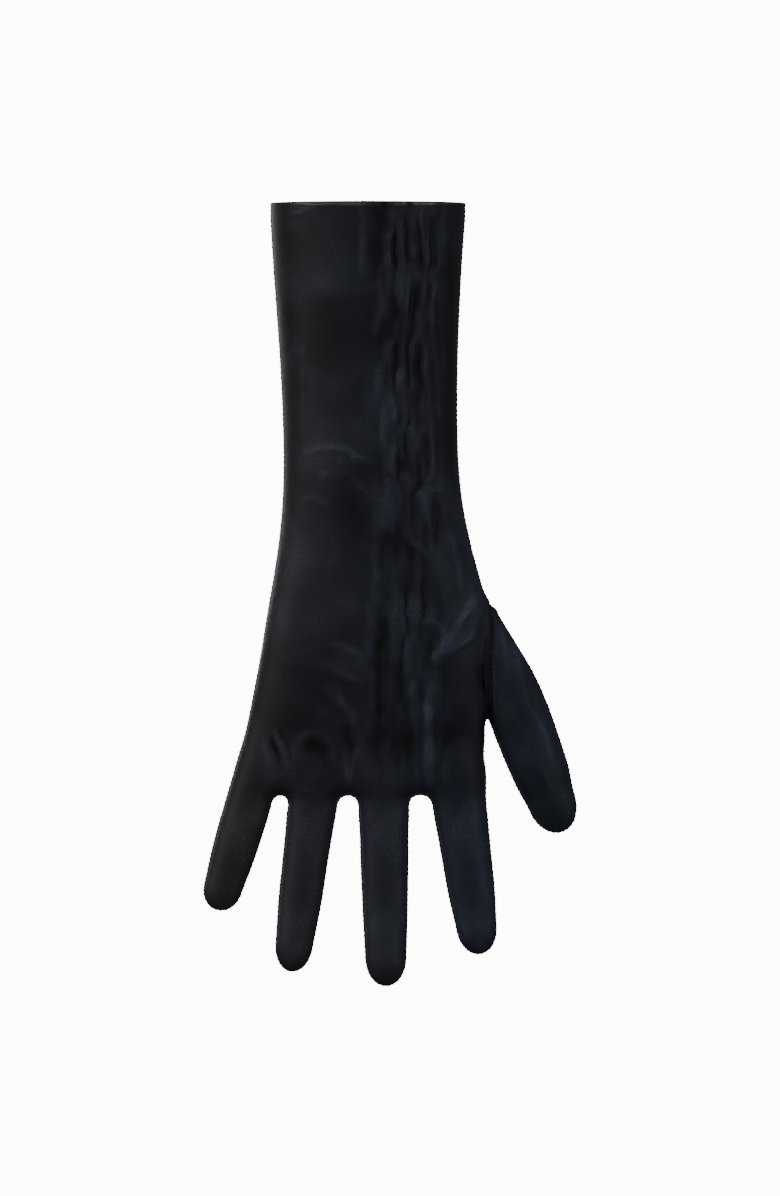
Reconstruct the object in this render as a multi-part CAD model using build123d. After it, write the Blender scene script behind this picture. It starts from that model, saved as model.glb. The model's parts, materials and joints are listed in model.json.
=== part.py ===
"""A long glove of sheer stretch mesh for a left hand, shaped as it is when it is worn.

Millimetres, +Z up. The origin is the centre of the cuff's opening, where the arm goes in. The sleeve hangs
down from it along -Z, the palm faces -Y and the thumb is towards +X.

Two panels are sewn together in the glove's mid-plane, Y = 0: one over the palm and one over the back of the
hand. The edges of both are turned in along their seam. The thumb is a piece of its own, set into the panels.
The cloth bends where the hand in it bends, so each panel is divided at the wrist and at every knuckle, and the
cloth that gathers in a bend is a crease piece.
"""

from build123d import *
from collections import namedtuple
from math import cos, pi, radians, sin, tan
import os

# ---- cloth and sewing ----
CLOTH = 0.6  # thickness of the mesh, with the relief of its knitting
SEAM_WIDTH = 2.4  # across the turned-in edges of both panels
SEAM_DEPTH = 0.8  # how far the turned-in edges stand inwards from the cloth
SIT = 0.1  # between two pieces of cloth that are sewn together
BEND_GAP = 0.35  # half the slit between two pieces of cloth that turn about a knuckle

# ---- sleeve and hand: the glove's cross-sections, from the cuff down ----
CUFF_TO_WRIST = 116.0
WRIST_TO_CROTCH = 119.0
Girth = namedtuple("Girth", "below_wrist centre half_width half_depth squareness")
CUFF = Girth(-CUFF_TO_WRIST, 0.0, 39.2, 29.0, 2.1)
FOREARM = Girth(-CUFF_TO_WRIST * 0.66, -0.1, 36.5, 26.0, 2.1)
LOW_FOREARM = Girth(-CUFF_TO_WRIST * 0.32, 0.8, 34.8, 22.5, 2.1)
WRIST = Girth(0.0, 1.7, 35.5, 19.5, 2.2)
HEEL = Girth(WRIST_TO_CROTCH * 0.25, 3.3, 40.1, 17.5, 2.3)
LOW_PALM = Girth(WRIST_TO_CROTCH * 0.5, 2.3, 44.3, 15.5, 2.4)
MID_PALM = Girth(WRIST_TO_CROTCH * 0.76, -0.6, 47.2, 13.0, 2.5)
CROTCH_HALF_DEPTH = 9.6  # of the hand, where the fingers part
CROTCH_SQUARENESS = 3.0
SECTION_SPANS = 10  # of the curve over each half of a cross-section

# ---- fingers, from the little finger to the index, each with the gap that comes before it ----
Finger = namedtuple("Finger", "name gap base_half_width tip_half_width base middle tip splay")
FINGERS = [
    Finger("little", 0.0, 9.0, 7.7, 15.4, 14.0, 13.4, -16.6),
    Finger("ring", 5.8, 9.6, 7.7, 23.4, 21.5, 20.0, -7.4),
    Finger("middle", 8.0, 10.0, 8.4, 25.4, 23.2, 21.6, 0.8),
    Finger("index", 8.8, 10.7, 8.1, 20.6, 19.4, 17.6, 7.9),
]
MIDDLE_FINGER_X = 6.2
FINGER_FLATNESS = 0.8  # depth over width
TIP_DOME = 1.25  # height over half width of a fingertip
ROUND = 0.55  # pull of a fingertip's curve that makes it an ellipse
FINGER_ROOT = 24.0  # how far a finger's form runs up inside the hand

# ---- thumb ----
THUMB_X = 60.2  # centre of the thumb beside its crotch
THUMB_ABOVE_CROTCH = 31.0  # height of that centre above the fingers' crotches
THUMB_SPLAY = 20.5
THUMB_TURN = 40.0  # how far its pad is turned from the palm's side towards the index finger
THUMB_ROOT = [(54.0, 4.2), (36.0, 7.0), (18.0, 10.4)]  # heights above that centre and half widths there
THUMB_HALF_WIDTH = 12.0
THUMB_TIP_HALF_WIDTH = 9.8
THUMB_BASE = 22.0
THUMB_TIP = 22.5
THUMB_FLATNESS = 0.84
SET_IN_X = 49.2  # where the seam that sets the thumb in starts, at the thumb's crotch
SET_IN_LEAN = 3.6  # that seam's lean towards the thumb's side, in degrees

# ---- how far each bend goes, in degrees ----
WRIST_FLEXION, WRIST_EXTENSION = 70.0, 60.0
BASE_FLEXION, BASE_EXTENSION = 70.0, 15.0
MIDDLE_FLEXION = 76.0
TIP_FLEXION = 38.0
THUMB_BASE_FLEXION = 32.0
THUMB_TIP_FLEXION = 60.0
BEND_SPARE = 1.0  # each side of a bend, past its limit

FAR = 400.0  # longer than the glove
wrist_z = -CUFF_TO_WRIST
crotch_z = wrist_z - WRIST_TO_CROTCH
Bend = namedtuple("Bend", "name place turn flexion extension half_width half_depth")


def placed_fingers():
    """Each finger with the x of its centre at the crotches, laid side by side from their widths and gaps."""
    x, found = 0.0, []
    for f in FINGERS:
        half = f.base_half_width / cos(radians(f.splay))
        x += f.gap + half
        found.append((f, x))
        x += half
    shift = MIDDLE_FINGER_X - next(x for f, x in found if f.name == "middle")
    return [(f, x + shift) for f, x in found]


def hand_end():
    """The cross-section where the fingers part, as wide as the four of them."""
    placed = placed_fingers()
    (first, left), (last, right) = placed[0], placed[-1]
    left -= first.base_half_width / cos(radians(first.splay))
    right += last.base_half_width / cos(radians(last.splay))
    return Girth(WRIST_TO_CROTCH, (left + right) / 2, (right - left) / 2, CROTCH_HALF_DEPTH, CROTCH_SQUARENESS)


def girth_face(girth, inset, z):
    """A cross-section as a face: a superellipse, level, at height z."""

    def point(turn):
        c, s, power = cos(turn), sin(turn), 2 / girth.squareness
        x = (girth.half_width - inset) * abs(c) ** power * (1 if c >= 0 else -1)
        y = (girth.half_depth - inset) * abs(s) ** power * (1 if s >= 0 else -1)
        return Vector(girth.centre + x, y, z)

    turns = [pi * i / SECTION_SPANS for i in range(SECTION_SPANS + 1)]
    return make_face([Spline([point(side + turn) for turn in turns]) for side in (0, pi)])


def arm_form(inset):
    """The sleeve and the hand, solid. With an inset it is the space inside, and runs on past the cuff."""
    sleeve = [girth_face(g, inset, wrist_z - g.below_wrist) for g in (CUFF, FOREARM, LOW_FOREARM, WRIST)]
    hand = [girth_face(g, inset, wrist_z - g.below_wrist) for g in (WRIST, HEEL, LOW_PALM, MID_PALM, hand_end())]
    body = loft(sleeve) + split(loft(hand), Plane.XY.offset(crotch_z + inset), keep=Keep.TOP)
    if inset:
        body += extrude(sleeve[0], amount=CUFF_TO_WRIST, dir=(0, 0, 1))
    return body


def digit_form(stations, tip_at, tip_half_width, flatness, inset):
    """A finger or thumb, solid, along -Z from its crotch at z = 0. stations are (z, half width) from its root."""
    dome = tip_half_width * TIP_DOME
    radius, lowest = tip_half_width - inset, inset - tip_at
    round_off = (1 - ROUND) * (dome - inset)
    side = [(half - inset, z) for z, half in stations] + [(radius, dome - tip_at)]
    outline = Polyline([(0, side[0][1]), side[0]]) + Spline(side)
    outline += Bezier((radius, dome - tip_at), (radius, lowest + round_off), (radius * ROUND, lowest), (0, lowest))
    outline += Line((0, lowest), (0, side[0][1]))
    form = revolve(Plane.XZ * make_face(outline), Axis.Z)
    half = stations[-1][1]
    return scale(form, by=(1, (half * flatness - inset) / (half - inset), 1))


def bend_rise(depth, flexion):
    """How far from its knuckle a crease reaches along the cloth that is this deep in front of the knuckle."""
    return BEND_GAP + depth * tan(radians(flexion / 2 + BEND_SPARE))


def finger_drop(finger):
    """From the crotches down to a finger's base bend, which needs this room for its crease."""
    return bend_rise(finger.base_half_width * FINGER_FLATNESS + 1, BASE_FLEXION)


def thumb_drop():
    return bend_rise(THUMB_HALF_WIDTH, THUMB_BASE_FLEXION)


def finger_place(finger, x):
    return Location((x, 0, crotch_z), (0, -finger.splay, 0))


def thumb_place():
    return Location((THUMB_X, 0, crotch_z + THUMB_ABOVE_CROTCH), (0, -THUMB_SPLAY, 0))


def finger_form(finger, x, inset):
    stations = [(FINGER_ROOT, finger.base_half_width), (0, finger.base_half_width)]
    length = finger_drop(finger) + finger.base + finger.middle + finger.tip
    form = digit_form(stations, length, finger.tip_half_width, FINGER_FLATNESS, inset)
    return finger_place(finger, x) * form


def thumb_form(inset):
    stations = [*THUMB_ROOT, (0, THUMB_HALF_WIDTH)]
    length = thumb_drop() + THUMB_BASE + THUMB_TIP
    return thumb_place() * digit_form(stations, length, THUMB_TIP_HALF_WIDTH, THUMB_FLATNESS, inset)


def whole_form(inset):
    """The whole glove, solid, or with an inset the space inside it."""
    form = arm_form(inset) + thumb_form(inset)
    for finger, x in placed_fingers():
        form += finger_form(finger, x, inset)
    return form


def glove_shell():
    """The cloth, hollow, with the edges that are turned in along the mid-plane."""
    seams = Box(FAR, SEAM_WIDTH, 2 * FAR)
    inside = (whole_form(CLOTH) - seams) + whole_form(CLOTH + SEAM_DEPTH)
    return whole_form(0) - inside


def bend_prism(bend, clearance=0.0):
    """What must be open for a bend: a wedge in front of the knuckle, one behind it and a slit between."""
    gap, deep = BEND_GAP - clearance, 2 * bend.half_depth
    front = gap + deep * tan(radians(bend.flexion / 2 + BEND_SPARE))
    back = gap + deep * tan(radians(bend.extension / 2 + BEND_SPARE))
    points = [(-deep, front), (0, gap), (deep, back), (deep, -back), (0, -gap), (-deep, -front)]
    prism = extrude(Plane.YZ * make_face(Polyline(points, close=True)), amount=2 * bend.half_width, both=True)
    room = Box(2 * bend.half_width, 2 * bend.half_depth, FAR)
    return bend.place * (Rot(0, 0, -bend.turn) * prism & room)


def finger_bends(finger, x):
    """The three bends of a finger, from its base to its tip."""
    wide, deep = finger.base_half_width + 1, finger.base_half_width * FINGER_FLATNESS + 1
    drop = finger_drop(finger)
    limits = [("base", drop, BASE_FLEXION, BASE_EXTENSION)]
    limits += [("middle", drop + finger.base, MIDDLE_FLEXION, 0)]
    limits += [("tip", drop + finger.base + finger.middle, TIP_FLEXION, 0)]
    place = finger_place(finger, x)
    return [
        Bend(f"{finger.name}_{part}", place * Pos(0, 0, -at), 0, flexion, extension, wide, deep)
        for part, at, flexion, extension in limits
    ]


def thumb_bends():
    """The two bends of the thumb, from its base to its tip."""
    limits = [("base", thumb_drop(), THUMB_BASE_FLEXION), ("tip", thumb_drop() + THUMB_BASE, THUMB_TIP_FLEXION)]
    across = THUMB_HALF_WIDTH + 0.8
    return [
        Bend(f"thumb_{part}", thumb_place() * Pos(0, 0, -at), THUMB_TURN, flexion, 0, across, across)
        for part, at, flexion in limits
    ]


def wrist_bend():
    wide, deep = WRIST.half_width + 12, WRIST.half_depth + 6
    return Bend("wrist", Pos(WRIST.centre, 0, wrist_z), 0, WRIST_FLEXION, WRIST_EXTENSION, wide, deep)


def all_bends():
    bends = [wrist_bend(), *thumb_bends()]
    for finger, x in placed_fingers():
        bends += finger_bends(finger, x)
    return bends


def half(solid, behind):
    """The part of some cloth on the palm's side of the mid-plane, or behind it."""
    if behind:
        return split(solid, Plane.XZ.offset(-SIT / 2), keep=Keep.BOTTOM)
    return split(solid, Plane.XZ.offset(SIT / 2), keep=Keep.TOP)


def largest(solids):
    """A piece of cloth without the shavings of its cuts."""
    return max(solids, key=lambda s: s.volume)


def piece_beyond(bend, pieces):
    """The piece of cloth that a bend moves: the nearest one beyond it, along its digit."""

    def reach(solid):
        at = (bend.place.inverse() * Pos(*solid.bounding_box().center())).position
        return -at.Z if at.Z < 0 and abs(at.X) < bend.half_width and abs(at.Y) < 9 else FAR

    return min(pieces, key=reach)


def crease_in(bend, creases):
    """The cloth that gathers in a bend."""
    return min(creases, key=lambda s: (s.bounding_box().center() - bend.place.position).length)


def glove_parts():
    """Every piece of the glove by its name."""
    shell = glove_shell()
    bends = all_bends()
    pieces = (shell - [bend_prism(b) for b in bends]).solids()
    creases = (shell & Compound([bend_prism(b, SIT) for b in bends])).solids()
    parts = {}
    for bend in bends[1:]:
        moved = piece_beyond(bend, pieces)
        pieces.remove(moved)
        parts[f"{bend.name}_palm"] = half(moved, False)
        parts[f"{bend.name}_back"] = half(moved, True)
        parts[f"{bend.name}_crease"] = crease_in(bend, creases)
    sleeve = largest([s for s in pieces if s.bounding_box().center().Z > wrist_z])
    hand = largest([s for s in pieces if s.bounding_box().center().Z < wrist_z])
    set_in = Location((SET_IN_X, 0, crotch_z + THUMB_ABOVE_CROTCH), (0, SET_IN_LEAN, 0))
    beside = set_in * Pos(FAR / 2, 0, FAR / 2 - 2) * Box(FAR, FAR, FAR)
    parts["thumb_root"] = largest((hand & (Pos(SIT, 0, 0) * beside)).solids())
    wrist_crease = crease_in(bends[0], creases)
    for name, solid in [("sleeve", sleeve), ("wrist_crease", wrist_crease), ("hand", largest((hand - beside).solids()))]:
        parts[f"{name}_palm"] = half(solid, False)
        parts[f"{name}_back"] = half(solid, True)
    return parts


os.makedirs("parts", exist_ok=True)
for name, solid in glove_parts().items():
    export_step(solid, f"parts/{name}.step")
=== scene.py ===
# %% [markdown]
# # A long glove of sheer black stretch mesh
# The real glove is two panels of fine knitted mesh, one for the palm and one for the back of the hand, sewn
# together round their outline, with a thumb that is a piece of its own. It is shaped by the hand inside it.
# The imported model is the fixed frame: it says where the cuff, the wrist and every knuckle are. The glove of
# this lesson is made over it, in metres.

# %% Load the frame
import bpy
import bmesh
import json
import math
import numpy as np
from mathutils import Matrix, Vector, noise


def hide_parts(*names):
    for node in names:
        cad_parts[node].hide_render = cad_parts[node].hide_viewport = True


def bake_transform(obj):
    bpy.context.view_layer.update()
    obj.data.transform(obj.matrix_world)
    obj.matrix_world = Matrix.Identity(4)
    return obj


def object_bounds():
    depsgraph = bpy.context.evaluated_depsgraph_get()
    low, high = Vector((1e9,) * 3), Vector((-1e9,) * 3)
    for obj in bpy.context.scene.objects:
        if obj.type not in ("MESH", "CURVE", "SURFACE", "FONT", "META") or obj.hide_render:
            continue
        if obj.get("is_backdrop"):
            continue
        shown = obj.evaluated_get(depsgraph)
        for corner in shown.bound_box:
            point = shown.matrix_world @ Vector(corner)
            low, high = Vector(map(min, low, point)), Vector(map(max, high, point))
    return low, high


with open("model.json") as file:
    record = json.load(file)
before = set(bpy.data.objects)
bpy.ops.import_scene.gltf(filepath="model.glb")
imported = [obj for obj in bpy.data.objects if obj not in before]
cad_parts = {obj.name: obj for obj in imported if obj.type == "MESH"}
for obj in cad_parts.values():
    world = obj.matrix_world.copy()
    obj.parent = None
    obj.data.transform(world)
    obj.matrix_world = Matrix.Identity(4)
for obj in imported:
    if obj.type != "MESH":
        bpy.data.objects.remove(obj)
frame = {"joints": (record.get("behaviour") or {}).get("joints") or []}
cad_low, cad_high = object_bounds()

MM = 0.001
print("glove in the frame:", [round((h - l) / MM) for l, h in zip(cad_low, cad_high)], "mm")

# %% [markdown]
# ## Camera, background and light
# The glove hangs from its cuff and is looked at square on, from the palm's side, against plain white. A sheet
# behind the glove would do for one side only, so the floor here
# curves up into a round wall and closes overhead: a bowl, spun from a line whose corners are bevelled.

# %% Camera
camera = bpy.data.objects.new("camera", bpy.data.cameras.new("camera"))
bpy.context.collection.objects.link(camera)
camera.data.sensor_fit = "VERTICAL"
camera.data.lens = 250
camera.data.sensor_height = 24
FRAME_HEIGHT = 478.4 * MM  # of the upright frame, in the glove's plane
distance = FRAME_HEIGHT * camera.data.lens / camera.data.sensor_height
FRAME_CENTRE = Vector((8.8 * MM, 0, -158.0 * MM))
camera.location = FRAME_CENTRE + Vector((0, -distance, 0))
camera.rotation_euler = (math.radians(90), 0, 0)
camera.data.clip_end = 30
bpy.context.scene.camera = camera
print("camera stands", round(distance, 2), "m in front of the glove")

# %% White bowl
FLOOR = cad_low.z - 0.16
profile = [(0, FLOOR), (7.0, FLOOR), (9.0, FLOOR + 2.0), (9.0, 6.0), (7.0, 9.0), (0, 10.0)]
bm = bmesh.new()
rim = [bm.verts.new((x, 0, z)) for x, z in profile]
for a, b in zip(rim, rim[1:]):
    bm.edges.new((a, b))
bmesh.ops.bevel(bm, geom=rim[1:-1], offset=1.2, segments=10, profile=0.5, affect="VERTICES", material=-1)
bmesh.ops.spin(bm, geom=[*bm.verts, *bm.edges], cent=(0, 0, 0), axis=(0, 0, 1), angle=math.tau, steps=72,
               use_merge=True)
bmesh.ops.remove_doubles(bm, verts=bm.verts, dist=1e-4)
bmesh.ops.recalc_face_normals(bm, faces=bm.faces)
bmesh.ops.reverse_faces(bm, faces=bm.faces)
bowl_mesh = bpy.data.meshes.new("white_bowl")
bm.to_mesh(bowl_mesh)
bm.free()
for polygon in bowl_mesh.polygons:
    polygon.use_smooth = True
bowl = bpy.data.objects.new("white_bowl", bowl_mesh)
bpy.context.collection.objects.link(bowl)
# it glows, and only the lamps and the world may light the glove
bowl.visible_diffuse = bowl.visible_glossy = bowl.visible_shadow = False
bowl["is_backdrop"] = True
print("bowl of", len(bowl_mesh.polygons), "faces")


# %% Soft lights
def soft_light(name, place, aim, width, height, watts):
    lamp = bpy.data.lights.new(name, "AREA")
    lamp.shape = "RECTANGLE"
    lamp.size, lamp.size_y, lamp.energy = width, height, watts
    item = bpy.data.objects.new(name, lamp)
    bpy.context.collection.objects.link(item)
    item.location = place
    item.rotation_euler = (Vector(aim) - Vector(place)).to_track_quat("-Z", "Y").to_euler()
    item.visible_camera = False
    return item


HEART = (0.01, 0, -0.16)
soft_light("light_left", (-1.7, -0.9, 0.5), HEART, 0.9, 1.4, 30)
soft_light("light_right", (1.7, -1.2, 0.1), HEART, 0.8, 1.4, 15)
soft_light("light_above", (0.3, -0.7, 1.7), HEART, 1.2, 0.8, 14)
soft_light("light_behind", (-0.9, 1.7, 0.6), HEART, 1.4, 1.4, 26)
world = bpy.data.worlds.new("studio")
bpy.context.scene.world = world
world.use_nodes = True
world.node_tree.nodes["Background"].inputs["Color"].default_value = (1, 1, 1, 1)
world.node_tree.nodes["Background"].inputs["Strength"].default_value = 0.22
print("four soft lights and a white world")


# %% [markdown]
# ## Shader maths as plain expressions
# A material is a graph of nodes. Written out link by link it is hard to read, so one small class wraps a
# socket: an expression such as `1 - mask * 0.5` then adds its Math nodes by itself, and `add` makes any other
# node from its type, its settings and what goes into its sockets.

# %% The socket wrapper
class Wire:
    def __init__(self, tree, socket):
        self.tree, self.socket = tree, socket

    def add(self, kind, settings=None, **inputs):
        node = self.tree.nodes.new(kind)
        for name, value in (settings or {}).items():
            setattr(node, name, value)
        for name, value in inputs.items():
            key = int(name[1:]) if name[1:].isdigit() else name.replace("_", " ")
            if isinstance(value, Wire):
                self.tree.links.new(value.socket, node.inputs[key])
            else:
                node.inputs[key].default_value = value
        return node

    def out(self, node, name=0):
        return Wire(self.tree, node.outputs[name])

    def maths(self, operation, a, b=0.0, c=0.0, clamp=False):
        settings = {"operation": operation, "use_clamp": clamp}
        return self.out(self.add("ShaderNodeMath", settings, _0=a, _1=b, _2=c))

    def __add__(self, other):
        return self.maths("ADD", self, other)

    def __radd__(self, other):
        return self.maths("ADD", other, self)

    def __sub__(self, other):
        return self.maths("SUBTRACT", self, other)

    def __rsub__(self, other):
        return self.maths("SUBTRACT", other, self)

    def __mul__(self, other):
        return self.maths("MULTIPLY", self, other)

    def __rmul__(self, other):
        return self.maths("MULTIPLY", other, self)

    def power(self, exponent):
        return self.maths("POWER", self, exponent)

    def sine(self):
        return self.maths("SINE", self)

    def clamped(self):
        return self.maths("ADD", self, 0.0, clamp=True)

    def step(self, low, high):
        """0 below low, 1 above high and smooth between."""
        node = self.add("ShaderNodeMapRange", {"interpolation_type": "SMOOTHSTEP"}, Value=self)
        node.inputs["From Min"].default_value = low
        node.inputs["From Max"].default_value = high
        return self.out(node, "Result")

    def mix(self, dark, light):
        """The colour between dark and light at this value."""
        node = self.add("ShaderNodeMix", {"data_type": "RGBA"}, _0=self)
        for key, colour in ((6, dark), (7, light)):
            if isinstance(colour, Wire):
                self.tree.links.new(colour.socket, node.inputs[key])
            else:
                node.inputs[key].default_value = (*colour, 1)
        return Wire(self.tree, node.outputs[2])


def new_material(name):
    material = bpy.data.materials.new(name)
    material.use_nodes = True
    shader = material.node_tree.nodes["Principled BSDF"]
    return material, shader, Wire(material.node_tree, shader.outputs[0])


print("socket wrapper ready")

# %% [markdown]
# ## The bowl's paper
# Plain matt white paper, so bright that the glove's outline stands alone on it.

# %% Paper
paper, shader, wire = new_material("white_paper")
shader.inputs["Base Color"].default_value = (0.95, 0.95, 0.95, 1)
shader.inputs["Roughness"].default_value = 0.95
shader.inputs["Specular IOR Level"].default_value = 0.1
shader.inputs["Emission Color"].default_value = (1, 1, 1, 1)
shader.inputs["Emission Strength"].default_value = 12.0
bowl_mesh.materials.append(paper)
print("paper on the bowl")

# %% [markdown]
# ## The hand's form
# The glove fits closely, so its shape is the shape of the arm and hand in it. An arm is a ring that changes
# its width and depth on its way down, and so is a finger. Each form starts as a circle that is extruded ring
# by ring, and every new ring is pushed to the outline of its own height. The forms overlap and are then made
# one skin with a voxel remesh, which also welds the fingers to the palm without a crack.

# %% Heights and widths of the arm, in millimetres
# height below the cuff, left edge, right edge, half depth, squareness of the section
ARM = [
    (0, -39.2, 39.2, 29.0, 2.1),
    (-22, -37.9, 37.5, 27.4, 2.1),
    (-44, -36.3, 36.3, 25.6, 2.1),
    (-66, -34.8, 35.6, 23.6, 2.1),
    (-88, -33.8, 35.5, 21.6, 2.1),
    (-104, -33.5, 36.0, 20.4, 2.15),
    (-120, -34.0, 37.6, 19.2, 2.2),
    (-136, -35.5, 40.8, 18.2, 2.25),
    (-150, -37.6, 44.6, 17.4, 2.3),
    (-158, -39.0, 46.8, 16.9, 2.3),
    (-165, -40.2, 48.0, 16.4, 2.35),
    (-180, -42.6, 47.2, 15.1, 2.4),
    (-195, -45.4, 46.9, 13.8, 2.45),
    (-208, -48.0, 46.8, 12.2, 2.5),
    (-220, -50.9, 46.2, 10.3, 2.6),
    (-236.2, -55.3, 46.7, 8.2, 2.6),
]
RING = 128  # points of a ring


def along(stations, at, column):
    """A value between stations that passes smoothly through each of them."""
    x = np.array([s[0] for s in stations], float)
    y = np.array([s[column] for s in stations], float)
    if x[0] > x[-1]:
        x, y = x[::-1], y[::-1]
    slope = np.gradient(y, x)
    at = np.clip(at, x[0], x[-1])
    i = np.clip(np.searchsorted(x, at) - 1, 0, len(x) - 2)
    h = x[i + 1] - x[i]
    t = (at - x[i]) / h
    a, b = y[i], y[i + 1]
    return ((1 + 2 * t) * (1 - t) ** 2 * a + t * (1 - t) ** 2 * h * slope[i]
            + t * t * (3 - 2 * t) * b + t * t * (t - 1) * h * slope[i + 1])


def tube(rings, count=RING):
    """A closed form from rings of points, extruded one from another. Each ring is a function of the turn."""
    bm = bmesh.new()
    bmesh.ops.create_circle(bm, segments=count, radius=1)
    bm.verts.ensure_lookup_table()
    loop = list(bm.verts)
    turns = [math.atan2(v.co.y, v.co.x) for v in loop]
    edges = list(bm.edges)
    bmesh.ops.contextual_create(bm, geom=edges)
    for number, ring in enumerate(rings):
        if number:
            grown = bmesh.ops.extrude_edge_only(bm, edges=edges)["geom"]
            new = [g for g in grown if isinstance(g, bmesh.types.BMVert)]
            edges = [g for g in grown if isinstance(g, bmesh.types.BMEdge) and all(v in new for v in g.verts)]
            place = {v: i for i, v in enumerate(loop)}
            order = {}
            for v in new:
                old = next(e.other_vert(v) for e in v.link_edges if e.other_vert(v) in place)
                order[place[old]] = v
            loop = [order[i] for i in range(count)]
        for v, turn in zip(loop, turns):
            v.co = ring(turn)
    bmesh.ops.contextual_create(bm, geom=edges)
    bmesh.ops.recalc_face_normals(bm, faces=bm.faces)
    return bm


def arm_ring(height):
    left, right, depth, square = (float(along(ARM, height, c)) for c in (1, 2, 3, 4))
    centre, half = (left + right) / 2, (right - left) / 2

    def ring(turn):
        c, s = math.cos(turn), math.sin(turn)
        x = half * abs(c) ** (2 / square) * (1 if c > 0 else -1)
        y = depth * abs(s) ** (2 / square) * (1 if s > 0 else -1)
        return Vector((centre + x, y, height)) * MM

    return ring


arm_form = tube([arm_ring(z) for z in np.linspace(0, ARM[-1][0], 95)])
print("arm:", len(arm_form.faces), "faces")

# %% [markdown]
# A digit is the same kind of tube. Its line runs from its base knuckle to the next one, which the frame gives,
# and its widths are stations along that line. Past the last station it closes in a dome.

# %% Fingers and thumb, in millimetres along their own lines
joints = {j["name"]: j for j in frame["joints"]}
CROTCH = -235.0 * MM
THUMB_CROTCH = -204.0 * MM
# digit: widths as (distance past the crotch, half width), then the fingertip's distance and its flatness
DIGITS = {
    "little": ([(-24, 9.0), (0, 9.1), (12, 9.0), (28, 8.5), (40, 7.6)], 49.8, 0.80),
    "ring": ([(-24, 9.7), (-2, 11.2), (3, 10.2), (12, 9.5), (28, 8.9), (44, 8.5), (61, 7.4)], 73.0, 0.80),
    "middle": ([(-24, 10.0), (-2, 11.7), (3, 10.6), (12, 9.8), (28, 9.4), (46, 8.9), (66, 8.1)], 78.2, 0.80),
    "index": ([(-24, 10.8), (-2, 11.9), (3, 11.0), (12, 10.4), (28, 9.7), (41, 9.2), (54, 8.0)], 66.0, 0.80),
    "thumb": ([(-66, 0.8), (-56, 2.8), (-45, 5.2), (-36, 7.0), (-26.7, 8.8), (-17.5, 10.5), (-8, 11.7), (0, 12.0),
               (8, 11.9), (18, 11.6), (28, 11.0), (36, 9.7)], 50.6, 0.84),
}


class Line:
    """A digit's own line: where it starts, which way it runs and which way is across."""

    def __init__(self, name, second, start_height):
        base, next_one = (Vector(joints[f"{name}_{part}_bend"]["pos_m"]) for part in ("base", second))
        self.name = name
        self.run = (next_one - base).normalized()
        self.start = base + self.run * ((start_height - base.z) / self.run.z)
        self.across = Vector((-self.run.z, 0, self.run.x))
        self.bends = [(base - self.start).length, (next_one - self.start).length]

    def point(self, distance):
        return self.start + self.run * distance


LINES = {name: Line(name, "middle", CROTCH) for name in ("little", "ring", "middle", "index")}
LINES["thumb"] = Line("thumb", "tip", THUMB_CROTCH)
for name in ("little", "ring", "middle", "index"):
    tip = Vector(joints[f"{name}_tip_bend"]["pos_m"])
    LINES[name].bends.append((tip - LINES[name].start).length)


def digit_form(name):
    widths, end, flat = DIGITS[name]
    line = LINES[name]
    last, last_half = widths[-1]

    def half_width(distance):
        if distance <= last:
            return float(along(widths, distance, 1))
        share = (distance - last) / (end - last)
        return last_half * max(0.0, 1 - share ** 2.2) ** 0.5

    def ring_at(distance):
        half = max(half_width(distance), 0.25) * MM

        def ring(turn):
            side = line.across * (half * math.cos(turn)) + Vector((0, half * flat * math.sin(turn), 0))
            return line.point(distance * MM) + side

        return ring

    straight = np.arange(widths[0][0], last, 2.0)
    dome = last + (end - last) * np.sin(np.linspace(0, math.pi / 2, 14))
    return tube([ring_at(d) for d in [*straight, *dome]])


digit_forms = {name: digit_form(name) for name in DIGITS}
for name, form in digit_forms.items():
    print(name, "bends at", [round(b / MM, 1) for b in LINES[name].bends], "mm")

# %% [markdown]
# ## One skin
# The voxel remesh keeps a grid of about a millimetre, fine enough for the small wrinkles that come next.
# Smoothing takes out the steps that voxels leave, and extra rounds of it where two digits part turn the
# sharp notch between them into the round arch of a stretched crotch. More rounds go over the palm's end and
# over the ridge where the thumb grows out of it.

# %% Remesh
VOXEL = 0.85 * MM


def joined(forms):
    whole = bmesh.new()
    for form in forms:
        part = bpy.data.meshes.new("part")
        form.to_mesh(part)
        form.free()
        whole.from_mesh(part)
        bpy.data.meshes.remove(part)
    return whole


def remeshed(whole, voxel):
    mesh = bpy.data.meshes.new("rough_hand")
    whole.to_mesh(mesh)
    whole.free()
    rough = bpy.data.objects.new("rough_hand", mesh)
    bpy.context.collection.objects.link(rough)
    modifier = rough.modifiers.new("skin", "REMESH")
    modifier.mode = "VOXEL"
    modifier.voxel_size = voxel
    graph = bpy.context.evaluated_depsgraph_get()
    bm = bmesh.new()
    bm.from_mesh(rough.evaluated_get(graph).to_mesh())
    bpy.data.objects.remove(rough)
    bpy.data.meshes.remove(mesh)
    return bm


skin = remeshed(joined([arm_form, *digit_forms.values()]), VOXEL)
print("skin:", len(skin.verts), "points")

# %% Smooth, and round the crotches
CROTCHES = [(-34.6, -236.6, 6.5, 60), (-7.4, -236.6, 7.5, 70), (21.0, -236.6, 7.5, 70), (47.6, -205.6, 7.0, 18)]


def smooth(bm, verts, rounds, factor=0.5):
    for _ in range(rounds):
        bmesh.ops.smooth_vert(bm, verts=verts, factor=factor, use_axis_x=True, use_axis_y=True, use_axis_z=True)


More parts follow.
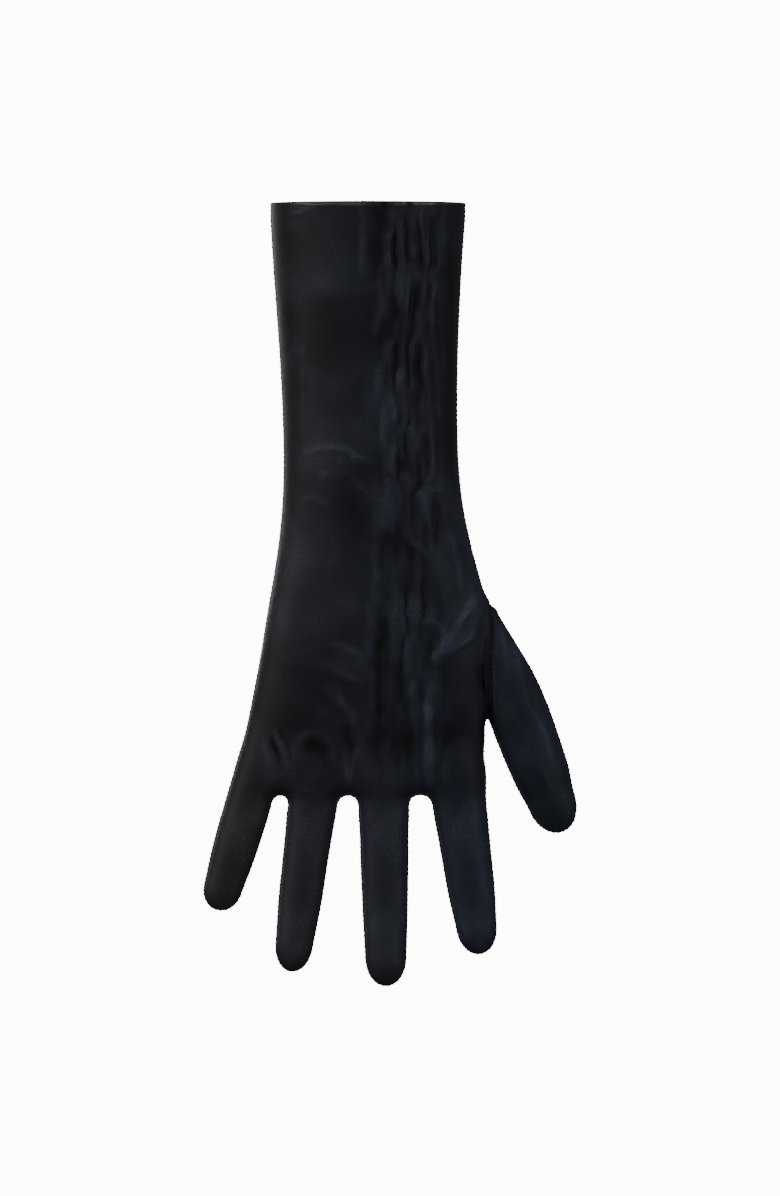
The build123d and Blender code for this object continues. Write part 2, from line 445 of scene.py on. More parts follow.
LID_EDGE = -1.2 * MM  # the lid above this height is cut off next, and stays as it is
smooth(skin, [v for v in skin.verts if v.co.z <= LID_EDGE], 5)
smooth(skin, [v for v in skin.verts if -245 * MM < v.co.z < -227 * MM], 10)
smooth(skin, [v for v in skin.verts if -200 * MM < v.co.z < -138 * MM and v.co.x > 36 * MM], 14)
for x, z, reach, rounds in CROTCHES:
    heart = Vector((x, 0, z)) * MM
    near = [v for v in skin.verts if math.hypot(v.co.x - heart.x, v.co.z - heart.z) < reach * MM]
    smooth(skin, near, rounds)
print("smoothed round", len(CROTCHES), "crotches")

# %% [markdown]
# The top of the form is a flat lid. It is cut off so that the cuff is open, and the skin is divided along the
# mid-plane, where the real panels are sewn together, so that an edge runs all the way along the seam.

# %% Open the cuff and divide at the seam
LID = 1.4 * MM
RAISED = 40 * MM  # the length of arm that is stretched back up to the cuff's height
bmesh.ops.bisect_plane(skin, geom=[*skin.verts, *skin.edges, *skin.faces], dist=0.12 * MM,
                       plane_co=(0, 0, -LID), plane_no=(0, 0, 1), clear_outer=True)
for v in skin.verts:
    v.co.z += LID * max(0.0, 1 + v.co.z / RAISED)
cut = bmesh.ops.bisect_plane(skin, geom=[*skin.verts, *skin.edges, *skin.faces], dist=0.15 * MM,
                             plane_co=(0, 0, 0), plane_no=(0, 1, 0))["geom_cut"]
for v in cut:
    if isinstance(v, bmesh.types.BMVert):
        v.co.y = 0
for v in skin.verts:
    if v.is_boundary:
        v.co.z = 0
print("cuff open:", sum(e.is_boundary for e in skin.edges), "edges round it")

# %% [markdown]
# ## Cut lines
# A piece of cloth can bend at one joint only, so the skin is divided where it bends least: half way between
# two knuckles, and just past the crotches. The thumb is a separate piece in the real glove too. Its set-in seam
# runs straight down the side of the palm. The cuts are made before the wrinkles, so both sides of a cut share
# the same points and no gap can show.

# %% Bend zones and cuts along each digit
SET_IN = 49.2 * MM
THUMB_TOP = -150 * MM
FIRST_CUT = 1.0 * MM  # past the crotch
FINGER_REACH = 13.5 * MM  # nothing of a finger is further from its line


def zones(line):
    """For each bend of a digit, where the cloth starts to turn and where it has turned fully."""
    first = (FIRST_CUT, 2 * line.bends[0] - FIRST_CUT)
    if line.name == "thumb":
        root, reach = 7.4 * MM, 8.0 * MM
        return [(line.bends[0] - root, line.bends[0] + root), (line.bends[1] - reach, line.bends[1] + reach)]
    last = 6.0 * MM
    reach = min(8.7 * MM, line.bends[2] - line.bends[1] - last - 0.5 * MM)
    return [first, (line.bends[1] - reach, line.bends[1] + reach), (line.bends[2] - last, line.bends[2] + last)]


ZONES = {name: zones(line) for name, line in LINES.items()}
CUTS = {name: [(a[1] + b[0]) / 2 for a, b in zip(z, z[1:])] for name, z in ZONES.items()}
for name, cuts in CUTS.items():
    print(name, "divided at", [round(c / MM, 1) for c in cuts], "mm")


# %% Divide the skin
def divide(bm, point, normal, keep):
    """An edge loop where a plane crosses the faces that keep() picks out."""
    faces = [f for f in bm.faces if keep(f.calc_center_median())]
    # dictionaries keep their order, which a set doesn't, so every run gives the same mesh
    verts = dict.fromkeys(v for f in faces for v in f.verts)
    edges = dict.fromkeys(e for f in faces for e in f.edges)
    bmesh.ops.bisect_plane(bm, geom=[*verts, *edges, *faces], dist=0.12 * MM, plane_co=point, plane_no=normal)


def on_digit(name, place):
    """(distance along the digit, distance across it)"""
    line = LINES[name]
    away = place - line.start
    return away.dot(line.run), away.dot(line.across)


def near_digit(name):
    def keep(place):
        distance, across = on_digit(name, place)
        if name == "thumb":
            return place.x > SET_IN and distance > -4 * MM
        return distance > -4 * MM and abs(across) < FINGER_REACH and place.z < -226 * MM

    return keep


for name, line in LINES.items():
    for cut in ([] if name == "thumb" else [FIRST_CUT]) + CUTS[name]:
        divide(skin, line.point(cut), line.run, near_digit(name))
divide(skin, (SET_IN, 0, 0), (1, 0, 0), lambda p: -254 * MM < p.z < THUMB_TOP and 40 * MM < p.x < 60 * MM)
print("divided skin:", len(skin.faces), "faces")


# %% Which cloth a place belongs to
def cloth_of(place):
    if place.x > SET_IN and -254 * MM < place.z < THUMB_TOP:
        distance, _ = on_digit("thumb", place)
        return "thumb_base" if distance < CUTS["thumb"][0] else "thumb_tip"
    if place.z < -232 * MM:
        for name in ("little", "ring", "middle", "index"):
            distance, across = on_digit(name, place)
            if distance > FIRST_CUT and abs(across) < FINGER_REACH:
                part = sum(distance > cut for cut in CUTS[name])
                return f"{name}_{('base', 'middle', 'tip')[part]}"
    return "palm_panel" if place.y < 0 else "back_panel"


CLOTHS = ["palm_panel", "back_panel", "thumb_base", "thumb_tip"]
CLOTHS += [f"{name}_{part}" for name in ("little", "ring", "middle", "index") for part in ("base", "middle", "tip")]
cloth_layer = skin.faces.layers.int.new("cloth")
count = dict.fromkeys(CLOTHS, 0)
for face in skin.faces:
    cloth = cloth_of(face.calc_center_median())
    face[cloth_layer] = CLOTHS.index(cloth)
    count[cloth] += 1
print(count)

# %% [markdown]
# ## The mounds and knuckles of the hand
# A closely fitting glove shows the hand: the two mounds of the palm on one side, and the knuckles and the
# tendons that run to them on the other. Each is a soft swelling, a bell curve in height over a place.

# %% Swellings: place across and down, half widths, height in millimetres
PALM_MOUNDS = [(33, -186, 15, 26, 2.4), (-31, -184, 13, 30, 1.8), (-4, -196, 13, 24, -1.2), (2, -232, 44, 9, 0.9)]
BACK_MOUNDS = [(30, -213, 7, 8, 1.5), (7, -209, 7, 8, 1.8), (-16, -213, 7, 8, 1.5), (-40, -219, 6, 7, 1.3),
               (21, -185, 3, 30, 0.7), (6, -182, 3, 32, 0.8), (-10, -184, 3, 32, 0.7), (-25, -188, 3, 30, 0.6),
               (-24, -118, 7, 9, 1.8)]

skin.verts.ensure_lookup_table()
skin.normal_update()
at = np.array([v.co for v in skin.verts]) / MM
out = np.array([v.normal for v in skin.verts])
side_on = np.clip(np.abs(out[:, 1]) * 1.25, 0, 1)  # 0 on the outline, 1 where the cloth faces the front or back
palm = out[:, 1] < 0


def bell(x, z, half_x, half_z):
    return np.exp(-((at[:, 0] - x) / half_x) ** 2 - ((at[:, 2] - z) / half_z) ** 2)


rise = np.zeros(len(at))
for mounds, chosen in ((PALM_MOUNDS, palm), (BACK_MOUNDS, ~palm)):
    for x, z, half_x, half_z, height in mounds:
        rise += np.where(chosen, bell(x, z, half_x, half_z) * height * side_on, 0)
print("highest mound", round(rise.max(), 2), "mm")

# %% [markdown]
# ## Wrinkles
# The mesh is cut a little too wide for the wrist, so it lies in long wavy folds down the middle of the palm,
# pulls in a strong slanting fold from the thumb, and gathers in pleats where two fingers part. These folds
# have fixed places, so no cloth simulation is run: each fold is a stroke, a smooth line over the palm with a
# width and a height. The same stroke also changes the mesh's colour: paler along a raised fold and darker along
# a sunken one. That is partly real, as stretched mesh lets more through and gathered mesh less, and partly
# painted highlight and painted shade of the fold.

# %% Strokes: the points of the line, half width, height and lightness (painted highlight and shade of the fold)
TOP_WAVES = [
    ([(-2.0, -2), (-1.6, -15), (-2.2, -31)], 1.2, 0.50, 0.55),
    ([(8.6, -2), (8.4, -14), (8.0, -28)], 1.6, 0.60, 0.55),
    ([(6.6, -35), (4.6, -45), (2.4, -55)], 1.4, 0.55, 0.55),
    ([(12.6, -8), (13.2, -20), (13.5, -30), (13.0, -43)], 1.2, 0.55, 0.50),
    ([(12.4, -45), (10.4, -53), (8.5, -60), (8.6, -67)], 1.4, 0.55, 0.55),
    ([(15.2, -29), (16.2, -40), (16.6, -52)], 1.1, 0.50, 0.45),
    ([(19.0, -43), (18.3, -52), (17.0, -62), (17.6, -77)], 1.2, 0.50, 0.45),
    ([(14.6, -54), (14.2, -62), (13.2, -70), (12.8, -79)], 1.2, 0.50, 0.45),
    ([(17.8, -2), (18.0, -12), (17.4, -24)], 1.7, 0.55, 0.40),
    ([(21.2, -2), (21.6, -14), (22.4, -26)], 1.1, 0.50, 0.50),
    ([(24.0, -4), (24.2, -16), (22.4, -33), (21.4, -42)], 1.2, 0.50, 0.45),
    ([(28.4, -10), (27.8, -24), (26.6, -36), (25.0, -50)], 1.4, 0.55, 0.55),
    ([(30.2, -2), (30.4, -14), (30.0, -26)], 1.3, 0.45, 0.45),
    ([(22.6, -58), (22.8, -66), (21.8, -75)], 1.4, 0.45, 0.45),
    ([(28.0, -72), (28.6, -80), (28.2, -88)], 1.2, 0.40, 0.40),
    ([(4.6, -64), (4.6, -72), (5.6, -80)], 1.3, 0.45, 0.45),
    ([(10.8, -4), (10.9, -20), (10.2, -38), (7.2, -52)], 1.1, -0.60, -0.55),
    ([(15.2, -4), (15.4, -18), (15.0, -26)], 1.0, -0.55, -0.50),
    ([(19.6, -6), (19.8, -22), (19.0, -38), (15.8, -56), (15.2, -76)], 1.1, -0.60, -0.55),
    ([(25.8, -6), (26.0, -16), (24.6, -34), (22.0, -50)], 1.1, -0.55, -0.50),
    ([(11.8, -56), (11.0, -66), (10.4, -79)], 1.1, -0.55, -0.50),
    ([(20.4, -56), (19.8, -68), (19.6, -82)], 1.1, -0.50, -0.45),
    ([(4.2, -3), (4.0, -14), (3.0, -26), (0.4, -36)], 2.2, -0.50, -0.45),
    ([(-33, -4.8), (-27, -3.6), (-20, -2.2)], 1.0, 0.25, 0.40),
    ([(-26.6, -58), (-26.2, -68), (-26.0, -80)], 1.1, 0.30, 0.30),
]
WAVES = [
    ([(9.4, -77), (9.8, -84), (9.0, -92)], 1.3, 0.55, 0.55),
    ([(13.4, -79), (14.2, -86), (13.2, -94)], 1.2, 0.50, 0.45),
    ([(15.6, -89), (18.6, -95), (21.0, -101)], 1.6, 0.60, 0.60),
    ([(9.4, -98), (8.6, -103), (9.2, -109)], 1.3, 0.50, 0.55),
    ([(14.6, -108), (15.0, -112), (14.4, -117)], 1.2, 0.45, 0.45),
    ([(19.4, -114), (22.6, -121), (23.8, -130)], 1.8, 0.60, 0.60),
    ([(16.6, -135), (20.4, -138), (23.8, -143)], 1.3, 0.50, 0.50),
    ([(10.8, -144), (11.8, -160), (10.6, -172), (11.4, -186)], 1.3, 0.50, 0.45),
    ([(2.6, -136), (3.2, -148), (2.6, -163)], 1.2, 0.50, 0.50),
    ([(17.0, -155), (18.6, -172), (17.6, -190), (19.2, -206), (18.8, -220)], 1.5, 0.55, 0.45),
    ([(32.0, -131), (34.8, -139), (36.2, -149), (37.4, -156)], 1.5, 0.50, 0.50),
    ([(27.2, -99), (25.8, -106), (24.4, -112)], 1.4, 0.45, 0.45),
    ([(24.0, -114.4), (28.0, -115.6), (31.6, -114.2)], 1.2, 0.40, 0.40),
    ([(15.2, -131), (18.4, -136), (22.6, -142)], 1.3, 0.45, 0.40),
    ([(23.8, -102), (22.4, -110), (17.6, -118), (17.8, -130)], 1.1, -0.50, -0.45),
    ([(27.2, -118), (27.8, -126), (26.4, -138)], 1.3, -0.40, -0.35),
    ([(20.8, -169), (25.4, -168), (29.4, -172), (29.0, -179), (24.6, -183)], 1.2, 0.40, 0.35),
    ([(11.6, -80), (11.2, -95), (12.4, -108), (11.4, -124)], 0.9, -0.50, -0.45),
    ([(16.6, -76), (16.2, -88), (14.9, -99), (17.4, -112)], 0.9, -0.50, -0.40),
    ([(21.0, -84), (22.2, -97), (20.4, -108), (20.9, -116)], 0.9, -0.45, -0.40),
    ([(14.2, -146), (14.8, -166), (13.8, -184), (14.6, -205)], 1.0, -0.50, -0.40),
    ([(22.4, -150), (22.0, -160), (23.4, -170)], 1.0, -0.35, -0.30),
]
PULLS = [
    ([(42.6, -155), (40.4, -161), (36.4, -166.6), (31.0, -175), (26.6, -186)], 2.5, 0.95, 1.15),
    ([(44.4, -162), (41.0, -171), (35.0, -178), (29.4, -181)], 2.2, 0.60, 0.60),
    ([(25.4, -186), (24.6, -193), (24.0, -202), (24.4, -212), (24.0, -224), (24.4, -234)], 2.1, 0.85, 1.05),
    ([(24.0, -192), (23.2, -201), (23.8, -209)], 1.9, 0.30, 0.55),
    ([(38.6, -161), (32.8, -168.6), (30.8, -172)], 1.2, -0.60, -0.50),
    ([(44.4, -184), (45.6, -192), (48.0, -199)], 1.5, -0.50, -0.50),
    ([(0.6, -160), (1.0, -168), (1.2, -176), (0.8, -184)], 1.6, 0.60, 0.65),
    ([(1.0, -184), (1.2, -196), (0.8, -206), (-2.8, -217)], 1.3, 0.35, 0.30),
    ([(5.4, -161), (5.6, -185), (5.2, -206), (5.8, -226)], 2.8, -0.75, -0.70),
    ([(-16.0, -176), (-9.4, -178.4), (-3.4, -181.0), (1.0, -184.6)], 1.6, 0.40, 0.55),
    ([(-20.0, -183), (-12.8, -187), (-5.0, -190.6), (-1.0, -192.0)], 1.6, 0.35, 0.50),
    ([(-17.0, -193), (-11.6, -198), (-7.4, -203.6), (-4.0, -212)], 1.9, 0.50, 0.60),
    ([(-20.4, -205), (-16, -204), (-10.6, -209)], 2.2, 0.15, 0.35),
    ([(-8.0, -209), (-7.2, -216), (-8.0, -222)], 2.0, -0.35, -0.45),
    ([(-6.6, -232), (-9.0, -224), (-8.4, -218)], 1.1, 0.25, 0.25),
]
THUMB_PULLS = [
    ([(52.6, -166), (54.4, -178), (56.0, -192)], 1.2, 0.35, 0.45),
    ([(57.0, -172), (60.6, -184), (64.0, -198)], 1.5, 0.35, 0.45),
    ([(60.0, -182), (65.0, -196), (70.0, -210)], 1.0, -0.30, -0.35),
    ([(66.4, -202), (71.0, -214), (75.6, -227)], 1.4, 0.30, 0.40),
    ([(55.6, -199), (60.4, -208), (66.0, -217)], 1.4, 0.30, 0.35),
    ([(70.0, -226), (73.0, -234), (76.0, -240)], 1.6, 0.20, 0.35),
]
GATHERS = [
    ([(-29.8, -226), (-28.6, -218), (-24.6, -212.6), (-19.0, -212.0), (-14.4, -217.0), (-12.2, -226)],
     1.7, 0.40, 0.35),
    ([(-25.0, -219.6), (-20.6, -217.0), (-16.6, -221.6)], 2.3, -0.35, -0.45),
    ([(-38.2, -213), (-36.4, -219.6), (-33.6, -228.6)], 1.0, -0.45, -0.50),
    ([(-36.2, -211), (-34.4, -217.6), (-31.2, -227)], 1.0, 0.45, 0.45),
    ([(-34.4, -210), (-32.0, -217), (-29.6, -225)], 1.0, -0.40, -0.45),
    ([(-41.0, -214), (-40.4, -220), (-38.4, -227)], 1.3, 0.30, 0.30),
    ([(-10.4, -219), (-8.6, -226), (-7.6, -232)], 0.9, 0.35, 0.30),
    ([(-3.8, -218), (-5.8, -226), (-6.8, -232)], 0.9, 0.35, 0.30),
    ([(17.6, -220), (19.6, -227), (20.6, -232)], 0.9, 0.30, 0.25),
    ([(45.8, -186), (46.8, -196), (47.4, -203)], 0.9, 0.40, 0.35),
]
ARM_BANDS = [
    ([(-26, -100.6), (-12, -98.8), (4.0, -105.6)], 1.5, 0.35, 0.50),
    ([(-19, -107.8), (-13, -108.6), (-7.8, -107.8)], 1.3, 0.25, 0.35),
    ([(-26.4, -118.6), (-20, -119.4), (-13, -121.8)], 1.5, 0.25, 0.40),
    ([(-6.6, -110.6), (-2.2, -114.4), (2.2, -119.0)], 1.2, 0.35, 0.45),
    ([(-26.2, -77), (-25.8, -86), (-26.2, -96)], 1.1, 0.30, 0.35),
    ([(6.6, -76), (6.2, -88), (6.6, -100)], 1.0, 0.40, 0.30),
    ([(2.6, -112), (3.2, -124), (2.8, -136)], 1.0, 0.40, 0.30),
]
BACK_LINES = [
    ([(-14, -84), (-12, -98), (-13, -112)], 1.5, 0.45, 0.40),
    ([(-4, -88), (-5, -102), (-3, -118)], 1.4, 0.45, 0.40),
    ([(8, -92), (9.6, -106), (8.4, -122)], 1.5, 0.45, 0.45),
    ([(-30, -112), (-8, -108.6), (16, -111.6)], 1.7, 0.40, 0.35),
    ([(-24, -122), (-2, -118.8), (26, -123)], 1.7, 0.45, 0.40),
    ([(-26, -131), (0, -127.8), (28, -133)], 1.6, 0.35, 0.30),
    ([(36, -158), (30, -172), (21, -190)], 1.8, 0.55, 0.45),
    ([(-36, -160), (-33, -178), (-29, -196)], 1.5, 0.35, 0.30),
]


# cloth never folds as evenly as a drawn line: its place wanders by up to a millimetre, and its strength too
noise.seed_set(3)  # without a seed, noise_vector starts from the clock and no two runs agree
wander = np.array([noise.noise_vector(Vector((x / 5, y / 9, z / 7)))[:] for x, y, z in at])
uneven = np.clip(0.95 + 1.1 * wander[:, 1], 0.4, 1.5)
flat = at[:, (0, 2)] + wander[:, (0, 2)] * 1.3


def stroke(line, half_width):
    """1 on the stroke's line, 0 away from it, and fading towards its two ends."""
    stops = [(i, *p) for i, p in enumerate(line)]
    t = np.linspace(0, len(line) - 1, 10 * (len(line) - 1) + 1)
    curve = np.stack([along(stops, t, 1), along(stops, t, 2)], axis=1)
    reach = 3 * half_width
    low, high = curve.min(0) - reach, curve.max(0) + reach
    near = np.flatnonzero(np.all((flat > low) & (flat < high), axis=1))
    gap, place = np.full(len(near), 1e9), np.zeros(len(near))
    for i, (a, b) in enumerate(zip(curve, curve[1:])):
        share = np.clip((flat[near] - a) @ (b - a) / ((b - a) @ (b - a)), 0, 1)
        d = np.linalg.norm(flat[near] - a - share[:, None] * (b - a), axis=1)
        closer = d < gap
        gap[closer], place[closer] = d[closer], (i + share[closer]) / (len(curve) - 1)
    field = np.zeros(len(at))
    field[near] = np.exp(-(gap / half_width) ** 2) * np.clip(4 * place * (1 - place), 0, 1) ** 0.6 * uneven[near]
    return field


PALM_LINES = TOP_WAVES + WAVES + PULLS + THUMB_PULLS + GATHERS + ARM_BANDS
FOLD_HEIGHT, FOLD_LIGHT = 1.15, 1.3  # the strength of all strokes together
light = np.zeros(len(at))
for lines, chosen in ((PALM_LINES, palm), (BACK_LINES, ~palm)):
    for line, half_width, height, lightness in lines:
        field = np.where(chosen, stroke(line, half_width), 0) * side_on
        rise += field * height * FOLD_HEIGHT
        # a raised fold's painted highlight and a sunken fold's painted shade, as lightness has the sign of height
        light += field * lightness * FOLD_LIGHT
print("strokes drawn:", len(PALM_LINES), "on the palm and", len(BACK_LINES), "on the back")

# %% [markdown]
# Between the drawn folds the mesh is never quite flat. Fine ripples run lengthwise where it is loose, and a
# slow unevenness covers the whole arm. Both come from Blender's noise, which is the same on every run.

# %% Ripples
loose = np.where(palm, np.clip((at[:, 0] - 2) / 4, 0, 1) * np.clip((34 - at[:, 0]) / 8, 0, 1), 0.35)
loose *= np.clip((at[:, 2] + 240) / 12, 0, 1)
fine = np.array([noise.noise(Vector((x / 2.6, y / 9, z / 15))) for x, y, z in at])
slow = np.array([noise.noise(Vector((x / 13, y / 13, z / 17 + 40))) for x, y, z in at])
RIPPLE, SWELL = 0.42, 0.22  # heights in millimetres
rise += (fine * RIPPLE * loose + slow * SWELL) * side_on
# painted highlight where the ripples rise and painted shade where they sink
light += fine * 0.55 * loose + slow * 0.25
print("ripples up to", round(float(np.abs(fine * RIPPLE * loose).max()), 2), "mm")

# %% Lighter and darker patches of the mesh: place, half widths and lightness
PATCHES = [
    (7.8, -121, 4.6, 9, 0.75), (10.8, -135, 6, 5, -0.55), (-4.4, -125, 6, 9, -0.45), (-14, -150, 20, 12, 0.30),
    (-15, -168, 17, 8, 0.30), (-28, -200, 9, 20, -0.08), (38, -196, 8, 16, -0.12), (-11, -24, 9, 17, 0.40),
    (-18, -31, 4, 5, 0.40), (-29, -9, 4, 4, 0.35), (-12, -55, 20, 9, -0.14), (2.6, -77, 4, 5, 0.50),
    (-24, -68, 2.6, 4, 0.35), (-14, -92, 20, 14, 0.20), (33, -60, 6, 60, -0.30), (30, -100, 5, 40, -0.12),
    (28, -145, 8, 10, 0.25), (34, -214, 8, 9, -0.30), (-28.2, -237.4, 1.6, 2.6, 0.8),
]
for x, z, half_x, half_z, amount in PATCHES:
    light += np.where(palm, bell(x, z, half_x, half_z) * amount, 0)
on_fingers = np.clip((-232 - at[:, 2]) / 8, 0, 1)
on_thumb = np.clip((at[:, 0] - 50) / 6, 0, 1) * (at[:, 2] < -156)
light *= 1 - 0.72 * on_fingers
light += 0.34 * on_fingers * (1 - on_thumb) + 0.04 * on_thumb
# darker towards the cuff
light -= 0.16 * np.clip((at[:, 2] + 100) / 60, 0, 1)
print("lightness from", round(light.min(), 2), "to", round(light.max(), 2))

# %% [markdown]
# ## Seams
# The two panels meet in a narrow welt along the whole outline: the cloth rises to it, with a fine groove on
# each side where the stitches draw it in. The thumb's set-in seam is the same on a smaller scale.

# %% Welts
from_middle = np.abs(at[:, 1])
outline = np.exp(-(from_middle / 0.9) ** 2)
groove = np.exp(-((from_middle - 1.9) / 0.7) ** 2)
rise += (outline * 0.35 - groove * 0.18) * (1 - np.clip(np.abs(out[:, 1]) * 1.1, 0, 1))
beside = at[:, 0] - SET_IN / MM
in_reach = (at[:, 2] < -157) & (at[:, 2] > -206) & (np.abs(beside) < 8)
set_in = np.where(in_reach, np.exp(-(beside / 0.7) ** 2), 0)
set_in_welt = np.where(in_reach, np.exp(-((beside - 1.7) / 0.9) ** 2), 0)
rise += set_in_welt * 0.4 - set_in * 0.55
seam = np.clip(np.exp(-(from_middle / 2.2) ** 2) + set_in, 0, 1)
print("welt points:", int((outline > 0.5).sum()))

# %% Move the skin, and keep what the cloth's finish needs
rise *= np.clip(-at[:, 2] / 6, 0, 1)  # the cuff's edge stays a level line
moved = (at + out * rise[:, None]) * MM
on_seam = from_middle < 1e-4
moved[on_seam, 1] = 0
on_set_in = (np.abs(beside) < 1e-3) & (at[:, 2] < -150) & (at[:, 2] > -254)
moved[on_set_in, 0] = SET_IN
normal_layer = skin.verts.layers.float_vector.new("whole_normal")
light_layer = skin.verts.layers.float.new("light")
seam_layer = skin.verts.layers.float.new("seam")
blue_layer = skin.verts.layers.float.new("blue")
for v, place in zip(skin.verts, moved):
    v.co = place
skin.normal_update()
for i, v in enumerate(skin.verts):
    v[normal_layer] = v.normal
    v[light_layer] = light[i]
    v[seam_layer] = seam[i]
    v[blue_layer] = min(max((at[i, 0] + 62) / 110, 0), 1)
print("skin moved by", round(rise.min(), 2), "to", round(rise.max(), 2), "mm")

# %% [markdown]
# The knit's rows and columns follow the cloth, so they need a UV map in real metres. Down the arm it is the
# distance along it, and round the arm the turn from the seam times a radius. The turn is measured from the
# thumb's side on both panels, so the two halves mirror each other and meet at both seams without a jump.

# %% UV map in metres
uv_layer = skin.loops.layers.uv.new("knit")
digit_of = {cloth: next((n for n in LINES if cloth.startswith(n)), None) for cloth in CLOTHS}
arm_heights = np.linspace(0, ARM[-1][0], 200)
arm_middle = (along(ARM, arm_heights, 1) + along(ARM, arm_heights, 2)) / 2
for face in skin.faces:
    digit = digit_of[CLOTHS[face[cloth_layer]]]
    for loop in face.loops:
        place = loop.vert.co
        if digit:
            down, across = on_digit(digit, place)
            turn, radius, down = math.atan2(abs(place.y), across), 9 * MM, down - 235 * MM
        else:
            middle = float(np.interp(-place.z / MM, -arm_heights, arm_middle)) * MM
            turn, radius, down = math.atan2(abs(place.y) * 1.8, place.x - middle), 36 * MM, -place.z
        loop[uv_layer].uv = (turn * radius, down)
print("knit map on", len(skin.loops.layers.uv), "layer")

# %% [markdown]
# ## The finish: sheer black knit
# Fine nylon mesh is not one black. Where it is stretched, more of what is behind it comes through; the lightness
# attribute holds that together with the folds' painted highlights and painted shade. The light places get a lower
# alpha and a slightly greyer blue. Rows and columns of loops are sine waves across the UV map, and they show in
# patches, because a fold blurs them elsewhere. The same waves feed a bump.

# %% Mesh fabric
mesh_cloth, shader, w = new_material("sheer_black_mesh")
uv = w.out(w.add("ShaderNodeUVMap", {"uv_map": "knit"}), "UV")
parts = w.add("ShaderNodeSeparateXYZ", Vector=uv)
round_it, down_it = w.out(parts, "X"), w.out(parts, "Y")
lightness = w.out(w.add("ShaderNodeAttribute", {"attribute_name": "light"}), "Fac")
seam_mask = w.out(w.add("ShaderNodeAttribute", {"attribute_name": "seam"}), "Fac")

waver = w.add("ShaderNodeTexNoise", {"noise_dimensions": "2D"}, Vector=uv, Scale=160.0, Detail=2.0)
waver = (w.out(waver, 0) - 0.5) * 0.0016
ROW, COLUMN = 0.00084, 0.00062  # metres from one loop of the knit to the next
rows = ((down_it + waver) * (2 * math.pi / ROW)).sine() * 0.5 + 0.5
columns = ((round_it + waver) * (2 * math.pi / COLUMN)).sine() * 0.5 + 0.5
cloudy = w.out(w.add("ShaderNodeTexNoise", {"noise_dimensions": "2D"}, Vector=uv, Scale=46.0, Detail=3.0), 0)
open_patch = cloudy.step(0.47, 0.66)
rows_seen = open_patch * 0.95 + 0.12
knit = rows * rows_seen * 0.6 + columns * 0.25
grain = w.out(w.add("ShaderNodeTexNoise", {"noise_dimensions": "2D"}, Vector=uv, Scale=1500.0, Detail=2.0), 0)

# paler and more see-through where the lightness attribute is high, which is stretched mesh and the folds' painted
# highlights, and in cloudy patches; darker at the seams and under the folds' painted shade
thin_and_painted_light = (lightness * 0.50 + cloudy * 0.28 + knit * 0.25 - seam_mask * 0.7 + 0.02).clamped()
blue = w.out(w.add("ShaderNodeAttribute", {"attribute_name": "blue"}), "Fac")
dark = blue.mix((0.0029, 0.0032, 0.0042), (0.0021, 0.0029, 0.0054))
pale = blue.mix((0.0400, 0.0405, 0.0460), (0.0275, 0.0365, 0.0610))
w.tree.links.new(thin_and_painted_light.mix(dark, pale).socket, shader.inputs["Base Color"])
alpha = (1.0 - thin_and_painted_light * 0.22 - knit * 0.03 + seam_mask * 0.1).clamped()
w.tree.links.new(alpha.socket, shader.inputs["Alpha"])
rough = (0.56 - thin_and_painted_light * 0.10 + grain * 0.10).clamped()
w.tree.links.new(rough.socket, shader.inputs["Roughness"])
shader.inputs["Specular IOR Level"].default_value = 0.16
bump = w.add("ShaderNodeBump", Height=knit * 0.7 + grain * 0.3, Strength=0.35, Distance=0.00018)
w.tree.links.new(w.out(bump, "Normal").socket, shader.inputs["Normal"])
print("mesh fabric:", len(mesh_cloth.node_tree.nodes), "nodes")

# %% [markdown]
# The sewing thread is plain polyester, a little greyer than the mesh and with a twist in it, so the stitches
# show as small dashes along the seams.

# %% Thread
thread, shader, w = new_material("black_thread")
place = w.add("ShaderNodeTexCoord")
twist = w.add("ShaderNodeTexNoise", Vector=w.out(place, "Object"), Scale=2600.0, Detail=1.0)
twist = w.out(twist, 0)
w.tree.links.new(twist.mix((0.012, 0.013, 0.016), (0.045, 0.047, 0.055)).socket, shader.inputs["Base Color"])
w.tree.links.new((twist * 0.3 + 0.4).socket, shader.inputs["Roughness"])
print("thread ready")

# %% [markdown]
# ## Pieces of cloth
# Each cloth is cut out of the skin and given the thickness of the knit, so that it is a closed body with an
# inside. Its shading normals are those of the whole skin: then the cuts, which the real glove doesn't have,
# don't show at rest.

# %% Cut out, thicken and finish
THICKNESS = 0.45 * MM
cloth_mesh = bpy.data.meshes.new("skin")
skin.to_mesh(cloth_mesh)


def cut_out(name):
    bm = bmesh.new()
    bm.from_mesh(cloth_mesh)
    bm.faces.ensure_lookup_table()
    layer = bm.faces.layers.int["cloth"]
    wanted = CLOTHS.index(name)
    bmesh.ops.delete(bm, geom=[f for f in bm.faces if f[layer] != wanted], context="FACES")
    outward = bm.verts.layers.float_vector["whole_normal"]
    inside = bmesh.ops.extrude_face_region(bm, geom=list(bm.faces), use_keep_orig=True)["geom"]
    for v in inside:
        if isinstance(v, bmesh.types.BMVert):
            v.co -= v[outward] * THICKNESS
    bmesh.ops.recalc_face_normals(bm, faces=bm.faces)
    mesh = bpy.data.meshes.new(name)
    bm.to_mesh(mesh)
    bm.free()
    return mesh


def finish(name, mesh, material):
    mesh.materials.append(material)
    for polygon in mesh.polygons:
        polygon.use_smooth = True
    item = bpy.data.objects.new(name, mesh)
    bpy.context.collection.objects.link(item)
    return item


